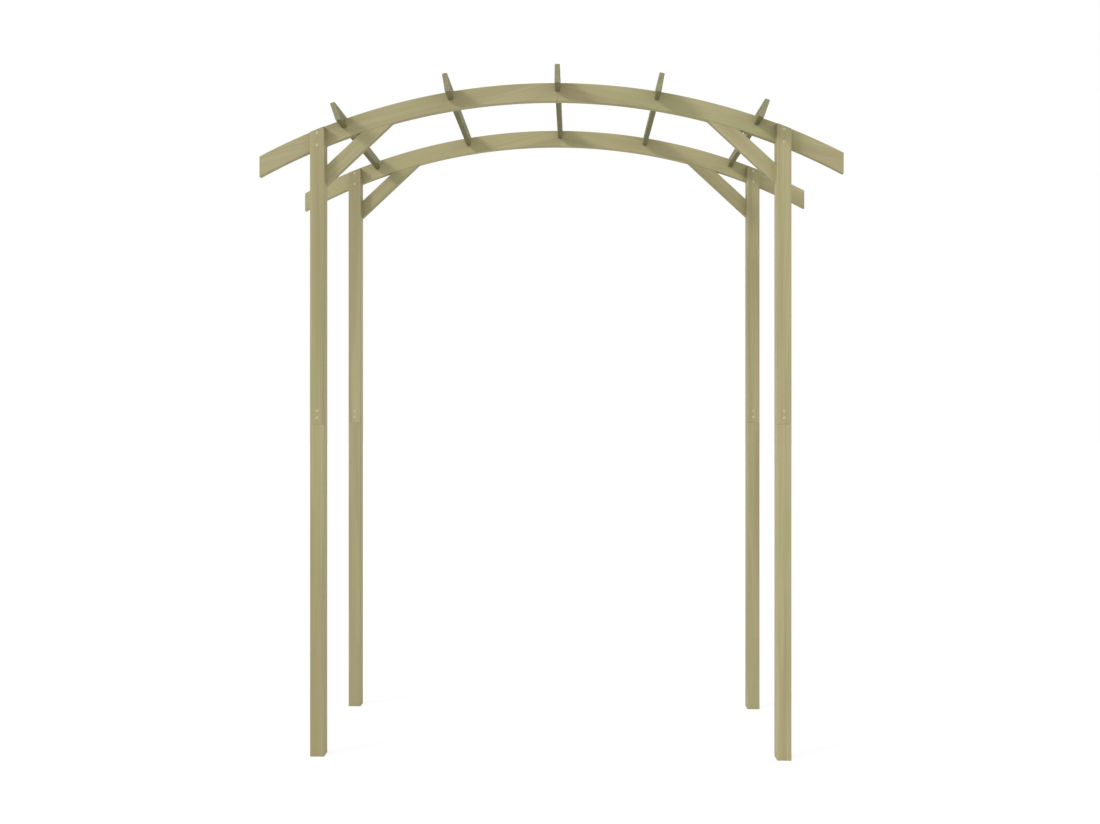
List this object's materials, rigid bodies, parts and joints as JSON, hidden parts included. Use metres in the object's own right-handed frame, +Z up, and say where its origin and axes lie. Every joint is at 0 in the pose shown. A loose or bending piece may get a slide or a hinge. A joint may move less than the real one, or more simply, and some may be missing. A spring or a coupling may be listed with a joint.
{
  "type": "pergola",
  "caption": "Free-standing timber garden pergola: two arched frames on square posts, with knee braces, tied by rafters set square to the arch.",
  "frame": {"origin": "centre of the footprint's box, on the ground under the posts", "axes": "+Z up, +X to the right seen from the front, +Y from the front frame to the back frame along the path that leads through"},
  "size_m": [1.847, 0.726, 2.1569],
  "materials": {
    "post_timber": "planed pine, pressure-treated, olive to beige, fine lengthwise grain",
    "beam_timber": "planed pine sawn to a curve, pressure-treated, olive to beige",
    "brace_timber": "planed pine, pressure-treated, olive to beige, fine lengthwise grain",
    "rafter_timber": "planed pine lath, pressure-treated, slightly greyer olive",
    "screw_steel": "dull zinc-plated steel"
  },
  "bodies": {
    "root": {"lower_post_front_left": "post_timber", "lower_post_front_right": "post_timber", "lower_post_back_left": "post_timber", "lower_post_back_right": "post_timber", "upper_post_front_left": "post_timber", "upper_post_front_right": "post_timber", "upper_post_back_left": "post_timber", "upper_post_back_right": "post_timber", "beam_front_left": "beam_timber", "beam_front_right": "beam_timber", "beam_back_left": "beam_timber", "beam_back_right": "beam_timber", "brace_front_left": "brace_timber", "brace_front_right": "brace_timber", "brace_back_left": "brace_timber", "brace_back_right": "brace_timber", "rafter_outer_left": "rafter_timber", "rafter_inner_left": "rafter_timber", "rafter_middle": "rafter_timber", "rafter_inner_right": "rafter_timber", "rafter_outer_right": "rafter_timber", "post_splice_screws": "screw_steel", "post_head_screws": "screw_steel", "beam_splice_screws": "screw_steel", "brace_foot_screws": "screw_steel", "brace_head_screws": "screw_steel", "rafter_screws": "screw_steel"}
  },
  "joints": []
}
